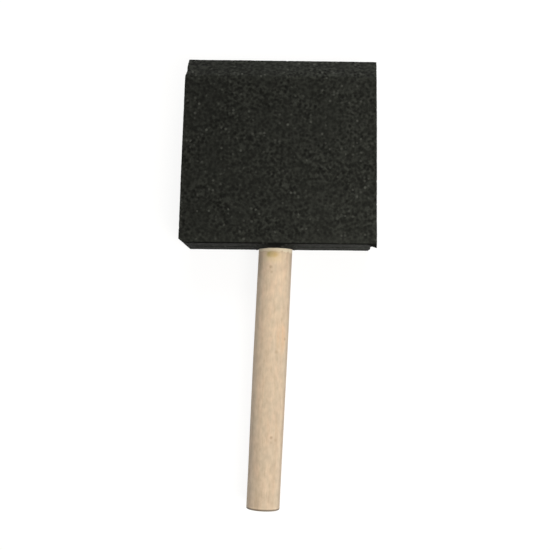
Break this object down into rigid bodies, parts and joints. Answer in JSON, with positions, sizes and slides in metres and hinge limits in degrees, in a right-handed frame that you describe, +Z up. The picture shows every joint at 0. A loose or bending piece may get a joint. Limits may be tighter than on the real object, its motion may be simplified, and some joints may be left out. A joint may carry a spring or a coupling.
{
  "type": "foam sponge brush",
  "caption": "Wide disposable paint brush: a chisel-tipped charcoal foam pad on a round wooden dowel handle, joined by a hidden plastic stiffener.",
  "frame": {"origin": "on the surface that the brush lies on, under the middle of its bounding box", "axes": "+Y along the brush towards the chisel edge, +Z up through the foam from its back face to its front face, +X to the right when the front face is looked at with the chisel edge at the top"},
  "size_m": [0.103, 0.236, 0.0254],
  "materials": {
    "foam": "matte",
    "wood": "satin",
    "stiffener_plastic": "satin",
    "hot_melt": "satin"
  },
  "bodies": {
    "root": {"foam_pad": "foam", "handle": "wood", "stiffener": "stiffener_plastic", "glue_plug": "hot_melt", "glue_ring": "hot_melt", "glue_bead_front": "hot_melt", "glue_bead_back": "hot_melt"}
  },
  "joints": []
}
